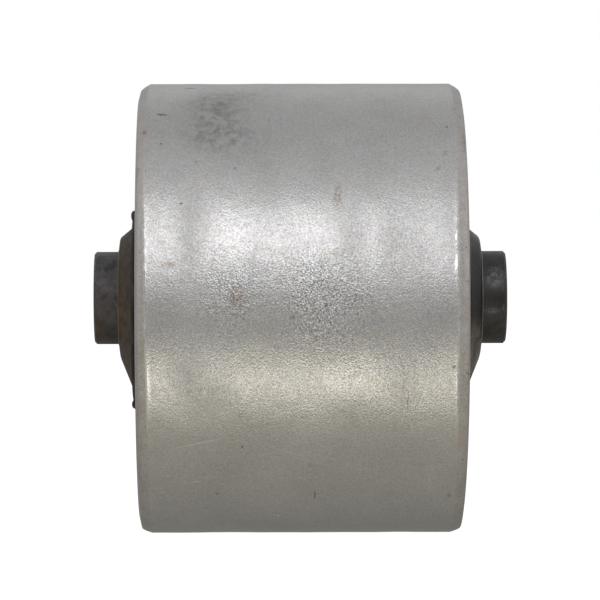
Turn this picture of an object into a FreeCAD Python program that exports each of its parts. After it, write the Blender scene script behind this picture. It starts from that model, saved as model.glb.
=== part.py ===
"""Track roller with a plain tread, sealed for life, on a fixed axle with eccentric end spigots.

The roller turns about the Y axis. The origin is the middle of the roller on that axis, and Z is up. Both ends
have the same pieces: each is drawn at the +Y end, the right one, and half a turn about Z makes the left one.
"""

import FreeCAD
import Part
import Sketcher
import math
import os

Vector = FreeCAD.Vector
Rotation = FreeCAD.Rotation
Placement = FreeCAD.Placement

# Driving dimensions in millimetres. A station is a distance from the middle of the roller along the axle.
DIMENSIONS = {
    # roller body
    "tread_radius": 73.0,
    "half_width": 52.0,
    "bevel_width": 3.6,
    "bevel_drop": 2.4,
    "bevel_rounding": 0.9,
    "rim_land_radius": 62.0,
    "web_outer_radius": 57.5,
    "web_inner_radius": 43.0,
    "web_depth": 7.0,
    "web_rounding": 3.0,
    "hub_radius": 38.5,
    "cavity_radius": 30.0,
    "cavity_station": 12.0,
    "cavity_edge": 3.0,
    # axle
    "journal_radius": 19.0,
    "journal_station": 50.0,
    "journal_edge": 0.5,
    "spigot_radius": 15.0,
    "spigot_rise": 3.4,
    "axle_station": 66.6,
    "spigot_edge": 0.7,
    "thread_drill_radius": 6.0,
    "thread_depth": 22.0,
    "thread_countersink": 1.0,
    "drill_point": 3.4,
    "gallery_radius": 3.0,
    "gallery_station": 28.0,
    "feed_radius": 2.5,
    "plug_radius": 4.8,
    "plug_height": 7.0,
    "plug_socket_radius": 2.9,
    # bush and thrust washer
    "bush_clearance": 0.05,
    "bush_wall": 2.45,
    "bush_length": 24.0,
    "bush_edge": 0.6,
    "bush_slit": 0.5,
    "bush_groove": 4.0,
    "bush_groove_depth": 0.8,
    "washer_radius": 25.0,
    "washer_height": 2.5,
    "washer_clearance": 0.2,
    "washer_groove": 3.0,
    "washer_groove_depth": 0.6,
    "end_play": 0.3,
    # floating seal group
    "seal_station": 45.0,
    "seal_gap": 0.02,
    "seal_bore_radius": 22.1,
    "seal_face_radius": 26.6,
    "seal_face_height": 1.8,
    "seal_face_edge": 0.3,
    "seal_height": 5.6,
    "ramp_slope": 0.2126,
    "toric_radius": 25.8,
    "toric_section": 1.8,
    "toric_distance": 3.9,
    "ramp_offset": 1.865,
    # collar
    "fit_clearance": 0.02,
    "collar_edge": 0.5,
    "collar_radius": 29.9,
    "collar_tip_station": 45.9,
    "collar_floor_station": 51.3,
    "collar_nose_radius": 21.5,
    "counterbore_radius": 30.4,
    "counterbore_station": 45.3,
    "land_station": 54.6,
    "cone_foot_radius": 26.3,
    "cone_top_radius": 19.5,
    "cone_top_station": 58.25,
    "face_station": 58.6,
    "face_radius": 17.0,
    # small seals and the snap ring
    "cord_station": 46.0,
    "cord_radius": 18.05,
    "cord_section": 0.93,
    "cord_groove": 2.4,
    "snap_station": 58.25,
    "snap_section": 0.74,
    "snap_clearance": 0.03,
    "snap_seat_radius": 16.1,
    "snap_seat_depth": 1.2,
    "dust_station": 53.6,
    "dust_radius": 31.45,
    "dust_section": 1.5,
    "dust_tongue": 1.2,
    "dust_tongue_depth": 1.0,
}
SNAP_RING_ARC_DEG = 328.0
WASHER_GROOVES = 4

# Places that several pieces share, as expressions of the dimensions above.
BUSH_END = "(Dims.cavity_station + Dims.bush_length)"
WASHER_FACE = f"({BUSH_END} + Dims.washer_height)"
BUSH_MIDDLE = "(Dims.cavity_station + Dims.bush_length / 2)"
BUSH_BORE = "(Dims.journal_radius + Dims.bush_clearance)"
BUSH_OUTSIDE = f"({BUSH_BORE} + Dims.bush_wall)"
THREAD_BOTTOM = "(Dims.axle_station - Dims.thread_depth)"

# Cuts run this far past the surface that they leave through.
OVERRUN = 1.0

doc = FreeCAD.newDocument("track_roller")
sheet = doc.addObject("Spreadsheet::Sheet", "Dims")
for row, (alias, value) in enumerate(DIMENSIONS.items(), start=1):
    sheet.set(f"A{row}", alias)
    sheet.set(f"B{row}", str(value))
    sheet.setAlias(f"B{row}", alias)
doc.recompute()

parts = []


# ---------------------------------------------------------------- drawing helpers


def new_body(label):
    """A PartDesign body that becomes one node."""
    body = doc.addObject("PartDesign::Body", label)
    body.Label = label
    parts.append(body)
    return body


def origin_feature(body, role):
    """The origin plane or axis of a body with that role, such as YZ_Plane or Y_Axis."""
    return next(feature for feature in body.Origin.OriginFeatures if feature.Role == role)


def new_sketch(body, name, role, lift=None, shift=None):
    """A sketch on an origin plane. lift is an expression along its normal, and shift one along its own Y."""
    sketch = body.newObject("Sketcher::SketchObject", name)
    sketch.AttachmentSupport = [(origin_feature(body, role), "")]
    sketch.MapMode = "FlatFace"
    if lift:
        sketch.setExpression(".AttachmentOffset.Base.z", lift)
    if shift:
        sketch.setExpression(".AttachmentOffset.Base.y", shift)
    return sketch


def pin_point(sketch, curve, end, along, across):
    """Holds one end of a curve at two expressions measured from the sketch's origin."""
    for kind, axis, expression in (("DistanceX", -2, along), ("DistanceY", -1, across)):
        if expression == "0":
            sketch.addConstraint(Sketcher.Constraint("PointOnObject", curve, end, axis))
            continue
        index = sketch.addConstraint(Sketcher.Constraint(kind, -1, 1, curve, end, 1.0))
        sketch.setExpression(f"Constraints[{index}]", expression)


def join_corners(sketch, start, corners):
    """Closed straight outline: drawn through the start points, then held at the corners' expressions."""
    count = len(corners)
    for i in range(count):
        sketch.addGeometry(Part.LineSegment(start[i], start[(i + 1) % count]), False)
    for i in range(count):
        sketch.addConstraint(Sketcher.Constraint("Coincident", i, 2, (i + 1) % count, 1))
    for i, (along, across) in enumerate(corners):
        pin_point(sketch, i, 1, along, across)


def half_section(body, name, corners, shift=None):
    """A closed outline in the plane through the axle: each corner is (station, radius) as expressions."""
    sketch = new_sketch(body, name, "YZ_Plane", shift=shift)
    middle = Vector(40, 40, 0)
    turn = 2 * math.pi / len(corners)
    angles = [i * turn for i in range(len(corners))]
    start = [middle + 20 * Vector(math.cos(angle), math.sin(angle), 0) for angle in angles]
    join_corners(sketch, start, corners)
    return sketch


def rectangle_sketch(body, name, width, low, high, lift=None):
    """A rectangle on the XZ plane, centred on the Z axis, between two heights."""
    sketch = new_sketch(body, name, "XZ_Plane", lift=lift)
    start = [Vector(-2, 1, 0), Vector(2, 1, 0), Vector(2, 9, 0), Vector(-2, 9, 0)]
    left = f"-({width}) / 2"
    right = f"({width}) / 2"
    join_corners(sketch, start, [(left, low), (right, low), (right, high), (left, high)])
    return sketch


def circle_sketch(body, name, role, radius, along="0", across="0", lift=None):
    """A circle of an expression's radius, centred at two expressions of the sketch's own axes."""
    sketch = new_sketch(body, name, role, lift=lift)
    sketch.addGeometry(Part.Circle(Vector(1, 1, 0), Vector(0, 0, 1), 1.0), False)
    pin_point(sketch, 0, 3, along, across)
    index = sketch.addConstraint(Sketcher.Constraint("Radius", 0, 1.0))
    sketch.setExpression(f"Constraints[{index}]", radius)
    return sketch


def turned(body, sketch, name, cut=False):
    """The sketch turned a full turn about its own X axis, which lies along the axle."""
    kind = "PartDesign::Groove" if cut else "PartDesign::Revolution"
    feature = body.newObject(kind, name)
    feature.Profile = sketch
    feature.ReferenceAxis = (sketch, ["H_Axis"])
    feature.Angle = 360.0
    return feature


def pocket(body, sketch, name, length):
    """A pocket of an expression's length, cut against the sketch's normal."""
    feature = body.newObject("PartDesign::Pocket", name)
    feature.Profile = sketch
    feature.setExpression("Length", length)
    return feature


def mirrored_ends(body, features, name):
    """Repeats the +Y end's features at the -Y end."""
    mirror = body.newObject("PartDesign::Mirrored", name)
    mirror.Originals = features
    mirror.MirrorPlane = (origin_feature(body, "XZ_Plane"), [""])
    body.Tip = mirror
    return mirror


def volume_after(body):
    """The body's volume once everything so far is built."""
    doc.recompute()
    return body.Shape.Volume


def require_less(body, before, what):
    """A cut that removes nothing shows no error, so the volume is compared."""
    after = volume_after(body)
    if not after < before - 0.5:
        raise RuntimeError(f"{body.Label}: {what} removed nothing ({before:.1f} -> {after:.1f} mm3)")
    return after


def set_side(piece, side):
    """A piece drawn for the right end goes to the left end by half a turn about Z."""
    if side == "left":
        piece.Placement = Placement(Vector(0, 0, 0), Rotation(Vector(0, 0, 1), 180))


def circular_edges(shape, radius, station):
    """Names of the circular edges of that radius that lie at plus or minus that station."""
    found = []
    for number, edge in enumerate(shape.Edges, start=1):
        curve = edge.Curve
        if not isinstance(curve, Part.Circle) or abs(curve.Radius - radius) > 0.01:
            continue
        if abs(abs(edge.CenterOfMass.y) - station) < 0.01:
            found.append(f"Edge{number}")
    return found


def rounded(body, base, name, radius, places):
    """Fillets, by an expression's radius, the base's circular edges at (radius, station) places."""
    doc.recompute()
    edges = [edge for place in places for edge in circular_edges(base.Shape, *place)]
    if len(edges) != 2 * len(places):
        raise RuntimeError(f"{name}: {len(edges)} edges found for {len(places)} places at each end")
    fillet = body.newObject("PartDesign::Fillet", name)
    fillet.Base = (base, edges)
    fillet.setExpression("Radius", radius)
    body.Tip = fillet
    return fillet


def ring(label, side, radius, section, station, rise="0", arc_deg=360.0):
    """A torus about the axle: an O-ring, a toric or the wire of a snap ring, whose opening faces -X."""
    torus = doc.addObject("Part::Torus", label)
    torus.Label = label
    torus.setExpression("Radius1", radius)
    torus.setExpression("Radius2", section)
    torus.Angle3 = arc_deg
    along_axle = Rotation(Vector(1, 0, 0), -90)
    opening_back = Rotation(Vector(0, 0, 1), -arc_deg / 2)
    torus.Placement = Placement(Vector(0, 0, 0), along_axle.multiply(opening_back))
    direction = 1 if side == "right" else -1
    torus.setExpression("Placement.Base.y", f"{direction} * ({station})")
    if rise != "0":
        torus.setExpression("Placement.Base.z", rise)
    parts.append(torus)


# ---------------------------------------------------------------- the rolling body


def housing_ramp(station):
    """Radius of the rotating seal's conical seat at a station: it opens towards the sealing plane."""
    centre = "(Dims.seal_station - Dims.toric_distance)"
    return f"Dims.toric_radius + Dims.ramp_offset + Dims.ramp_slope * (({station}) - {centre})"


def make_roller_body():
    """The forging: plain tread with bevelled edges, dished sides, bush bore, seal seats and an oil cavity."""
    body = new_body("roller_shell")
    washer_seat_end = f"{WASHER_FACE} + Dims.washer_clearance"
    washer_seat_radius = "Dims.washer_radius + Dims.washer_clearance"
    corners = [
        ("0", "Dims.cavity_radius"),
        ("Dims.cavity_station - Dims.cavity_edge", "Dims.cavity_radius"),
        ("Dims.cavity_station", "Dims.cavity_radius - Dims.cavity_edge"),
        ("Dims.cavity_station", f"{BUSH_OUTSIDE} + Dims.bush_edge"),
        ("Dims.cavity_station + Dims.bush_edge", BUSH_OUTSIDE),
        (BUSH_END, BUSH_OUTSIDE),
        (BUSH_END, washer_seat_radius),
        (washer_seat_end, washer_seat_radius),
        (washer_seat_end, housing_ramp(washer_seat_end)),
        ("Dims.counterbore_station", housing_ramp("Dims.counterbore_station")),
        ("Dims.counterbore_station", "Dims.counterbore_radius"),
        ("Dims.half_width - Dims.collar_edge", "Dims.counterbore_radius"),
        ("Dims.half_width", "Dims.counterbore_radius + Dims.collar_edge"),
        ("Dims.half_width", "Dims.hub_radius"),
        ("Dims.half_width - Dims.web_depth", "Dims.web_inner_radius"),
        ("Dims.half_width - Dims.web_depth", "Dims.web_outer_radius"),
        ("Dims.half_width", "Dims.rim_land_radius"),
        ("Dims.half_width", "Dims.tread_radius - Dims.bevel_drop"),
        ("Dims.half_width - Dims.bevel_width", "Dims.tread_radius"),
        ("0", "Dims.tread_radius"),
    ]
    half = turned(body, half_section(body, "RollerSection", corners), "RollerHalf")
    both = mirrored_ends(body, [half], "RollerEnds")
    side = sheet.half_width
    web_floor = side - sheet.web_depth
    web_edges = [
        (sheet.web_inner_radius, web_floor),
        (sheet.web_outer_radius, web_floor),
        (sheet.hub_radius, side),
        (sheet.rim_land_radius, side),
    ]
    bevel_edges = [
        (sheet.tread_radius - sheet.bevel_drop, side),
        (sheet.tread_radius, side - sheet.bevel_width),
    ]
    soft_web = rounded(body, both, "WebRounding", "Dims.web_rounding", web_edges)
    rounded(body, soft_web, "BevelRounding", "Dims.bevel_rounding", bevel_edges)


def make_bush(side):
    """Wrapped bimetal bush, with the slit of its butt joint and an oil groove round its middle."""
    body = new_body(f"{side}_bush")
    groove_half = "Dims.bush_groove / 2"
    floor_half = f"({groove_half} - Dims.bush_groove_depth)"
    groove_floor = f"{BUSH_BORE} + Dims.bush_groove_depth"
    edge_radius = f"{BUSH_OUTSIDE} - Dims.bush_edge"
    corners = [
        ("Dims.cavity_station", BUSH_BORE),
        (f"{BUSH_MIDDLE} - {groove_half}", BUSH_BORE),
        (f"{BUSH_MIDDLE} - {floor_half}", groove_floor),
        (f"{BUSH_MIDDLE} + {floor_half}", groove_floor),
        (f"{BUSH_MIDDLE} + {groove_half}", BUSH_BORE),
        (BUSH_END, BUSH_BORE),
        (BUSH_END, edge_radius),
        (f"{BUSH_END} - Dims.bush_edge", BUSH_OUTSIDE),
        ("Dims.cavity_station + Dims.bush_edge", BUSH_OUTSIDE),
        ("Dims.cavity_station", edge_radius),
    ]
    turned(body, half_section(body, "BushSection", corners), "BushWall")
    before = volume_after(body)
    slit = rectangle_sketch(body, "SlitSection", "Dims.bush_slit", "0", "Dims.washer_radius")
    pocket(body, slit, "Slit", BUSH_END)
    require_less(body, before, "the slit")
    set_side(body, side)


def make_thrust_washer(side):
    """Bronze washer between the roller body and the collar's nose, with radial oil grooves in its face."""
    body = new_body(f"{side}_thrust_washer")
    bore = "Dims.journal_radius + Dims.washer_clearance"
    corners = [
        (BUSH_END, bore),
        (WASHER_FACE, bore),
        (WASHER_FACE, "Dims.washer_radius"),
        (BUSH_END, "Dims.washer_radius"),
    ]
    turned(body, half_section(body, "WasherSection", corners), "WasherDisc")
    before = volume_after(body)
    section = rectangle_sketch(
        body,
        "GrooveSection",
        "Dims.washer_groove",
        f"{bore} - {OVERRUN}",
        f"Dims.washer_radius + {OVERRUN}",
        lift=f"-({WASHER_FACE} - Dims.washer_groove_depth)",
    )
    groove = pocket(body, section, "OilGroove", "Dims.washer_height")
    require_less(body, before, "the oil groove")
    pattern = body.newObject("PartDesign::PolarPattern", "OilGrooves")
    pattern.Originals = [groove]
    pattern.Axis = (origin_feature(body, "Y_Axis"), [""])
    pattern.Angle = 360.0
    pattern.Occurrences = WASHER_GROOVES
    body.Tip = pattern
    set_side(body, side)


# ---------------------------------------------------------------- the floating seals


def make_seal_ring(side, place):
    """A cast seal ring: a lapped face on the sealing plane, and a conical seat for its toric behind it."""
    body = new_body(f"{side}_{place}_seal_ring")
    away = "-" if place == "inner" else "+"
    seat_radius = "Dims.toric_radius - Dims.ramp_offset"

    def at(distance):
        return f"Dims.seal_station {away} ({distance})"

    def seat(distance):
        return f"{seat_radius} + Dims.ramp_slope * (Dims.toric_distance - ({distance}))"

    corners = [
        (at("Dims.seal_gap"), "Dims.seal_bore_radius"),
        (at("Dims.seal_gap"), "Dims.seal_face_radius - Dims.seal_face_edge"),
        (at("Dims.seal_gap + Dims.seal_face_edge"), "Dims.seal_face_radius"),
        (at("Dims.seal_face_height"), "Dims.seal_face_radius"),
        (at("Dims.seal_face_height"), seat("Dims.seal_face_height")),
        (at("Dims.seal_height"), seat("Dims.seal_height")),
        (at("Dims.seal_height"), "Dims.seal_bore_radius"),
    ]
    turned(body, half_section(body, "SealSection", corners), "SealRing")
    set_side(body, side)


def make_toric(side, place):
    """The rubber toric that presses a seal ring towards the sealing plane and seals its outside."""
    away = "-" if place == "inner" else "+"
    station = f"Dims.seal_station {away} Dims.toric_distance"
    ring(f"{side}_{place}_toric", side, "Dims.toric_radius", "Dims.toric_section", station)


# ---------------------------------------------------------------- the fixed pieces


def make_axle():
    """One shaft: a journal through the roller, and at each end a spigot that stands above its axis."""
    body = new_body("axle")
    half_groove = "Dims.cord_groove / 2"
    groove_floor = "Dims.cord_radius - Dims.cord_section - Dims.fit_clearance"
    corners = [
        ("0", "0"),
        ("0", "Dims.journal_radius"),
        (f"Dims.cord_station - {half_groove}", "Dims.journal_radius"),
        (f"Dims.cord_station - {half_groove}", groove_floor),
        (f"Dims.cord_station + {half_groove}", groove_floor),
        (f"Dims.cord_station + {half_groove}", "Dims.journal_radius"),
        ("Dims.journal_station - Dims.journal_edge", "Dims.journal_radius"),
        ("Dims.journal_station", "Dims.journal_radius - Dims.journal_edge"),
        ("Dims.journal_station", "0"),
    ]
    journal = turned(body, half_section(body, "JournalSection", corners), "JournalHalf")
    wire = "(Dims.snap_section + Dims.snap_clearance)"
    spigot_corners = [
        (f"Dims.journal_station - {OVERRUN}", "0"),
        (f"Dims.journal_station - {OVERRUN}", "Dims.spigot_radius"),
        (f"Dims.snap_station - {wire}", "Dims.spigot_radius"),
        (f"Dims.snap_station - {wire}", f"Dims.spigot_radius - {wire}"),
        (f"Dims.snap_station + {wire}", f"Dims.spigot_radius - {wire}"),
        (f"Dims.snap_station + {wire}", "Dims.spigot_radius"),
        ("Dims.axle_station - Dims.spigot_edge", "Dims.spigot_radius"),
        ("Dims.axle_station", "Dims.spigot_radius - Dims.spigot_edge"),
        ("Dims.axle_station", "0"),
    ]
    spigot_section = half_section(body, "SpigotSection", spigot_corners, shift="Dims.spigot_rise")
    spigot = turned(body, spigot_section, "Spigot")
    before = volume_after(body)
    drill = "Dims.thread_drill_radius"
    mouth = f"{drill} + Dims.thread_countersink"
    hole_corners = [
        (f"{THREAD_BOTTOM} - Dims.drill_point", "0"),
        (THREAD_BOTTOM, drill),
        ("Dims.axle_station - Dims.thread_countersink", drill),
        ("Dims.axle_station", mouth),
        (f"Dims.axle_station + {OVERRUN}", mouth),
        (f"Dims.axle_station + {OVERRUN}", "0"),
    ]
    hole_section = half_section(body, "ThreadSection", hole_corners, shift="Dims.spigot_rise")
    hole = turned(body, hole_section, "ThreadedHole", cut=True)
    before = require_less(body, before, "the threaded hole")
    mirrored_ends(body, [journal, spigot, hole], "AxleEnds")
    before = volume_after(body)
    plug_seat = f"{THREAD_BOTTOM} - Dims.plug_height"
    gallery_corners = [
        ("-Dims.gallery_station", "0"),
        ("-Dims.gallery_station", "Dims.gallery_radius"),
        (f"{plug_seat} - Dims.journal_edge", "Dims.gallery_radius"),
        (plug_seat, "Dims.plug_radius"),
        (f"{THREAD_BOTTOM} + {OVERRUN}", "Dims.plug_radius"),
        (f"{THREAD_BOTTOM} + {OVERRUN}", "0"),
    ]
    gallery = half_section(body, "GallerySection", gallery_corners, shift="Dims.spigot_rise")
    turned(body, gallery, "OilGallery", cut=True)
    before = require_less(body, before, "the oil gallery")
    for name, station in (("RightFeed", BUSH_MIDDLE), ("CentreFeed", "0"), ("LeftFeed", f"-{BUSH_MIDDLE}")):
        section = circle_sketch(
            body, f"{name}Section", "XY_Plane", "Dims.feed_radius", across=station, lift="Dims.spigot_rise"
        )
        pocket(body, section, name, f"Dims.spigot_rise + Dims.journal_radius + {OVERRUN}")
        before = require_less(body, before, name)


def make_gallery_plug():
    """Screw plug at the bottom of the right-hand threaded hole, with a hexagon socket."""
    seat = f"{THREAD_BOTTOM} - Dims.plug_height"
    blank = doc.addObject("Part::Cylinder", "PlugBlank")
    blank.setExpression("Radius", "Dims.plug_radius - Dims.fit_clearance")
    blank.setExpression("Height", "Dims.plug_height")
    socket = doc.addObject("Part::Prism", "PlugSocket")
    socket.Polygon = 6
    socket.setExpression("Circumradius", "Dims.plug_socket_radius")
    socket.setExpression("Height", "Dims.plug_height")
    plug = doc.addObject("Part::Cut", "gallery_plug")
    plug.Label = "gallery_plug"
    plug.Base = blank
    plug.Tool = socket
    for piece, start in ((blank, seat), (socket, f"{seat} + Dims.plug_height / 2")):
        piece.Placement = Placement(Vector(0, 0, 0), Rotation(Vector(1, 0, 0), -90))
        piece.setExpression("Placement.Base.y", start)
        piece.setExpression("Placement.Base.z", "Dims.spigot_rise")
    parts.append(plug)


def collar_ramp(station):
    """Radius of the fixed seal's conical seat in the collar: it opens towards the sealing plane."""
    centre = "(Dims.seal_station + Dims.toric_distance)"
    return f"Dims.toric_radius + Dims.ramp_offset - Dims.ramp_slope * (({station}) - {centre})"


def make_collar(side):
    """The fixed end cap: thrust nose and seal pocket inside, and an oblique cone that rises to the spigot."""
    body = new_body(f"{side}_collar")
    bore = "Dims.journal_radius + Dims.fit_clearance"
    nose = f"{WASHER_FACE} + Dims.end_play"
    shoulder = "Dims.journal_station + 2 * Dims.fit_clearance"
    inside_spigot_bore = "Dims.spigot_radius - Dims.spigot_rise - Dims.fit_clearance"
    tongue = "(Dims.dust_tongue / 2 + Dims.fit_clearance)"
    groove_floor = "Dims.collar_radius - Dims.dust_tongue_depth - Dims.fit_clearance"
    corners = [
        (nose, f"{bore} + Dims.collar_edge"),
        (nose, "Dims.collar_nose_radius"),
        ("Dims.collar_floor_station", "Dims.collar_nose_radius"),
        ("Dims.collar_floor_station", collar_ramp("Dims.collar_floor_station")),
        ("Dims.collar_tip_station", collar_ramp("Dims.collar_tip_station")),
        ("Dims.collar_tip_station", "Dims.collar_radius"),
        (f"Dims.dust_station - {tongue}", "Dims.collar_radius"),
        (f"Dims.dust_station - {tongue}", groove_floor),
        (f"Dims.dust_station + {tongue}", groove_floor),
        (f"Dims.dust_station + {tongue}", "Dims.collar_radius"),
        ("Dims.land_station - Dims.collar_edge / 2", "Dims.collar_radius"),
        ("Dims.land_station", "Dims.collar_radius - Dims.collar_edge"),
        ("Dims.land_station", inside_spigot_bore),
        (shoulder, inside_spigot_bore),
        (shoulder, bore),
        (f"{nose} + Dims.collar_edge", bore),
    ]
    turned(body, half_section(body, "CollarSection", corners), "CollarRing")
    foot = circle_sketch(body, "ConeFoot", "XZ_Plane", "Dims.cone_foot_radius", lift="-Dims.land_station")
    top = circle_sketch(
        body,
        "ConeTop",
        "XZ_Plane",
        "Dims.cone_top_radius",
        across="Dims.spigot_rise",
        lift="-Dims.cone_top_station",
    )
    cone = body.newObject("PartDesign::AdditiveLoft", "ObliqueCone")
    cone.Profile = foot
    cone.Sections = [top]
    cone.Ruled = True
    face_corners = [
        ("Dims.cone_top_station - Dims.collar_edge", "0"),
        ("Dims.cone_top_station - Dims.collar_edge", "Dims.cone_top_radius"),
        ("Dims.cone_top_station", "Dims.cone_top_radius"),
        ("Dims.face_station", "Dims.face_radius"),
        ("Dims.face_station", "0"),
    ]
    face = half_section(body, "FaceSection", face_corners, shift="Dims.spigot_rise")
    turned(body, face, "FrontFace")
    before = volume_after(body)
    spigot_bore = "Dims.spigot_radius + Dims.fit_clearance"
    seat_corners = [
        (f"Dims.journal_station - {OVERRUN}", "0"),
        (f"Dims.journal_station - {OVERRUN}", spigot_bore),
        ("Dims.face_station - Dims.snap_seat_depth", spigot_bore),
        ("Dims.face_station - Dims.snap_seat_depth", "Dims.snap_seat_radius"),
        (f"Dims.face_station + {OVERRUN}", "Dims.snap_seat_radius"),
        (f"Dims.face_station + {OVERRUN}", "0"),
    ]
    seat = half_section(body, "SpigotBoreSection", seat_corners, shift="Dims.spigot_rise")
    turned(body, seat, "SpigotBore", cut=True)
    require_less(body, before, "the spigot bore")
    set_side(body, side)


def make_dust_ring(side):
    """Rubber ring on the collar's rim: the bead lies by the roller's side, the tongue in the rim's groove."""
    body = new_body(f"{side}_dust_ring")
    half = "Dims.dust_tongue / 2"
    corners = [
        (f"Dims.dust_station - {half}", "Dims.collar_radius - Dims.dust_tongue_depth"),
        (f"Dims.dust_station + {half}", "Dims.collar_radius - Dims.dust_tongue_depth"),
        (f"Dims.dust_station + {half}", "Dims.dust_radius"),
        (f"Dims.dust_station - {half}", "Dims.dust_radius"),
    ]
    turned(body, half_section(body, "TongueSection", corners), "Tongue")
    bead = circle_sketch(
        body,
        "BeadSection",
        "YZ_Plane",
        "Dims.dust_section",
        along="Dims.dust_station",
        across="Dims.dust_radius",
    )
    turned(body, bead, "Bead")
    set_side(body, side)


def make_snap_ring(side):
    """Round-wire ring in the spigot's groove that keeps the collar on the axle."""
    ring(
        f"{side}_snap_ring",
        side,
        "Dims.spigot_radius",
        "Dims.snap_section",
        "Dims.snap_station",
        rise="Dims.spigot_rise",
        arc_deg=SNAP_RING_ARC_DEG,
    )


# ---------------------------------------------------------------- build, check and write


def check_document():
    """Stops on any failed feature, and on any piece that is not one or more closed solids."""
    doc.recompute()
    for item in doc.Objects:
        if {"Invalid", "Error"} & set(item.State):
            raise RuntimeError(f"{item.Label} failed: {item.State}")
    for piece in parts:
        shape = piece.Shape
        if shape.isNull() or not shape.isValid() or not shape.Solids:
            raise RuntimeError(f"{piece.Label} has no valid solid")
        if any(solid.Volume <= 0 or not solid.isClosed() for solid in shape.Solids):
            raise RuntimeError(f"{piece.Label} has an open or empty solid")


def write_steps():
    """One STEP file for each piece, named after its label."""
    os.makedirs("parts", exist_ok=True)
    for piece in parts:
        piece.Shape.exportStep(f"parts/{piece.Label}.step")
        box = piece.Shape.BoundBox
        size = f"{box.XLength:7.2f} {box.YLength:7.2f} {box.ZLength:7.2f}"
        print(f"{piece.Label:26s} {size}  {piece.Shape.Volume:10.0f} mm3  solids {len(piece.Shape.Solids)}")


make_roller_body()
make_axle()
make_gallery_plug()
for end in ("left", "right"):
    make_bush(end)
    make_thrust_washer(end)
    for seat_side in ("inner", "outer"):
        make_seal_ring(end, seat_side)
        make_toric(end, seat_side)
    make_collar(end)
    ring(f"{end}_collar_o_ring", end, "Dims.cord_radius", "Dims.cord_section", "Dims.cord_station")
    make_dust_ring(end)
    make_snap_ring(end)
check_document()
write_steps()
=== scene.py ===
"""Looks of a sealed track roller: grey blasted tread, black collars and spigots, lumpy dust rings."""
import math
from functools import partial

import bmesh
import bpy
import numpy as np
from mathutils import Matrix, Vector, noise


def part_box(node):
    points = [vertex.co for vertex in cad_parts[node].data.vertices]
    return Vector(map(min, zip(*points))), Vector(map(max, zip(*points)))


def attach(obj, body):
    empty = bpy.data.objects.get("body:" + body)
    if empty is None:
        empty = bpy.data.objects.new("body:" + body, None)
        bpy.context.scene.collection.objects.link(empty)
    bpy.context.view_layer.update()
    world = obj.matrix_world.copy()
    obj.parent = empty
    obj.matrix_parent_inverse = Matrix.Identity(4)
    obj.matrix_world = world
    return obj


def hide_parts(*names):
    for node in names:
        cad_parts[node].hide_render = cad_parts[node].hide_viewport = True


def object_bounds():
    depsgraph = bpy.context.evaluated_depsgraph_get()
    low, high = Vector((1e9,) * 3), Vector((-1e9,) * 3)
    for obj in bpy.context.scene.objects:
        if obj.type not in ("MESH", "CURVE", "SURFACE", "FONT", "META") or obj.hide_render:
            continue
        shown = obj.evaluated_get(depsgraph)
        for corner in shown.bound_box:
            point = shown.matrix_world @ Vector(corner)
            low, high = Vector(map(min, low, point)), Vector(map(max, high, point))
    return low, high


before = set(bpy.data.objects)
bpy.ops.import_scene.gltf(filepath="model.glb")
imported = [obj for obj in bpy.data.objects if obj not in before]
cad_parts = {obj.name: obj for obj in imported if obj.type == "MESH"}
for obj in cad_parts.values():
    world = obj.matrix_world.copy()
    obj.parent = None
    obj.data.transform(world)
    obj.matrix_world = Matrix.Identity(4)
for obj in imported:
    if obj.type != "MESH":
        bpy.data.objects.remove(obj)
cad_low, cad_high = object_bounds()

MM = 0.001
SIDES = ("left", "right")
SHARP_ANGLE = math.radians(28)
WELD_DISTANCE = 0.004 * MM
ROUNDING_STEPS = 4

scene = bpy.context.scene
scene.view_settings.view_transform = "Standard"


# ---------------------------------------------------------------- outlines of the CAD nodes

def outline(node, side, least_turn):
    """Corners (y, distance from the axis) of a node's cut through x = 0, in order.

    side is 1 above the axis and -1 below it. Corners that turn by less than least_turn radians are left out.
    """
    mesh = bmesh.new()
    mesh.from_mesh(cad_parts[node].data)
    bmesh.ops.remove_doubles(mesh, verts=mesh.verts, dist=WELD_DISTANCE)
    bmesh.ops.bisect_plane(
        mesh,
        geom=mesh.verts[:] + mesh.edges[:] + mesh.faces[:],
        dist=WELD_DISTANCE / 10,
        plane_co=(0, 0, 0),
        plane_no=(1, 0, 0),
        clear_inner=True,
        clear_outer=True,
    )
    bmesh.ops.remove_doubles(mesh, verts=mesh.verts, dist=WELD_DISTANCE)
    start = max(mesh.verts, key=lambda v: (round(side * v.co.z, 6), v.co.y))
    loop, previous, vertex = [], None, start
    while not loop or vertex is not start:
        loop.append(Vector((vertex.co.y, side * vertex.co.z)))
        ahead = [e.other_vert(vertex) for e in vertex.link_edges]
        ahead = [v for v in ahead if v is not previous]
        previous, vertex = vertex, min(ahead, key=lambda v: v.co.y) if previous is None else ahead[0]
    mesh.free()
    kept = []
    for before, here, after in zip(loop[-1:] + loop[:-1], loop, loop[1:] + loop[:1]):
        if (here - before).length > 0 and (after - here).length > 0:
            if abs((here - before).angle(after - here)) > least_turn:
                kept.append(here)
    return kept


def rings_of(node, least_turn):
    """Corners (y, radius, height of the centre) of a turned node whose parts may be off centre in z."""
    above = outline(node, 1, least_turn)
    below = outline(node, -1, least_turn)
    if len(above) != len(below):
        raise ValueError(f"{node}: {len(above)} corners above its axis and {len(below)} below")
    return [Vector((a.x, (a.y + b.y) / 2, (a.y - b.y) / 2)) for a, b in zip(above, below)]


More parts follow.
